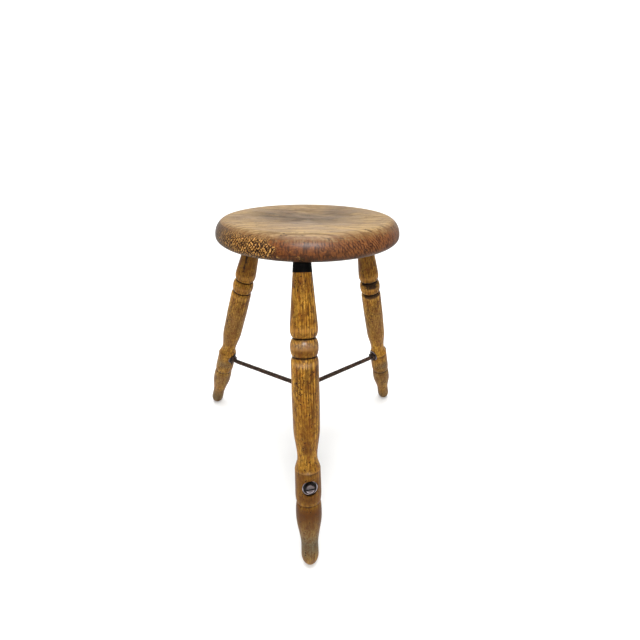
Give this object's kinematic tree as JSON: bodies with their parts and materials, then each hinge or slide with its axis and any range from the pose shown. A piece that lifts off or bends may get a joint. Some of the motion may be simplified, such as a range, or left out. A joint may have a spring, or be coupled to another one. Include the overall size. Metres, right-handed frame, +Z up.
{
  "type": "three-legged milking stool",
  "caption": "Low round wooden stool with a thick dished seat, splayed turned legs and a Y-shaped iron rod stretcher screwed through the legs.",
  "frame": {"origin": "on the floor, at the centre of the stool's box", "axes": "+Z up, -Y towards the front leg"},
  "size_m": [0.4546, 0.4256, 0.482],
  "materials": {
    "seat_wood": "waxed and worn",
    "leg_wood": "waxed and worn",
    "black_wrap": "matt",
    "dark_iron": "rusted",
    "worn_iron": "worn"
  },
  "bodies": {
    "root": {"seat": "seat_wood", "neck_band": "black_wrap", "stretcher_hub": "dark_iron", "leg_front": "leg_wood", "rod_front": "dark_iron", "inner_washer_front": "worn_iron", "outer_washer_front": "worn_iron", "inner_nut_front": "dark_iron", "outer_nut_front": "worn_iron", "leg_left": "leg_wood", "rod_left": "dark_iron", "inner_washer_left": "worn_iron", "outer_washer_left": "worn_iron", "inner_nut_left": "dark_iron", "outer_nut_left": "worn_iron", "leg_right": "leg_wood", "rod_right": "dark_iron", "inner_washer_right": "worn_iron", "outer_washer_right": "worn_iron", "inner_nut_right": "dark_iron", "outer_nut_right": "worn_iron"}
  },
  "joints": []
}
